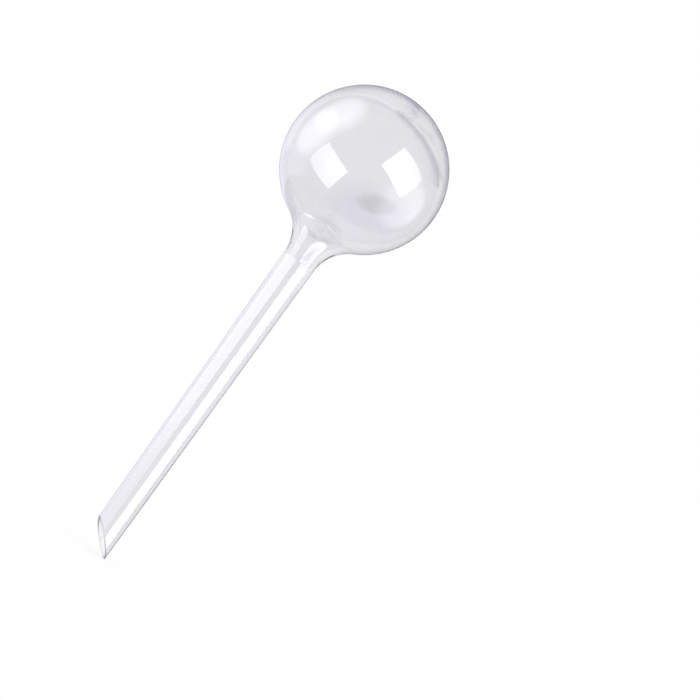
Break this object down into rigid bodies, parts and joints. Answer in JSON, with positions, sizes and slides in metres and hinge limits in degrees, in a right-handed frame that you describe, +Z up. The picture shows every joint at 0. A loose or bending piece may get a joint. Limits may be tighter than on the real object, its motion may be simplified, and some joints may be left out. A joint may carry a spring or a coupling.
{
  "type": "watering globe",
  "caption": "Clear watering globe: a round hollow bulb with a flared neck on a long tapered hollow stem, cut on a slant at its open tip, that lets water seep into potting soil.",
  "frame": {"origin": "on the axis where the neck and the stem meet, which is also the soil line when the stem is pushed in", "axes": "+Z up along the axis to the bulb's crown; +X towards the long side of the slanted tip"},
  "size_m": [0.04, 0.04, 0.13],
  "materials": {
    "clear_plastic": "clear, smooth and polished, with a faint violet tint"
  },
  "bodies": {
    "root": {"bulb": "clear_plastic", "stem": "clear_plastic"}
  },
  "joints": []
}
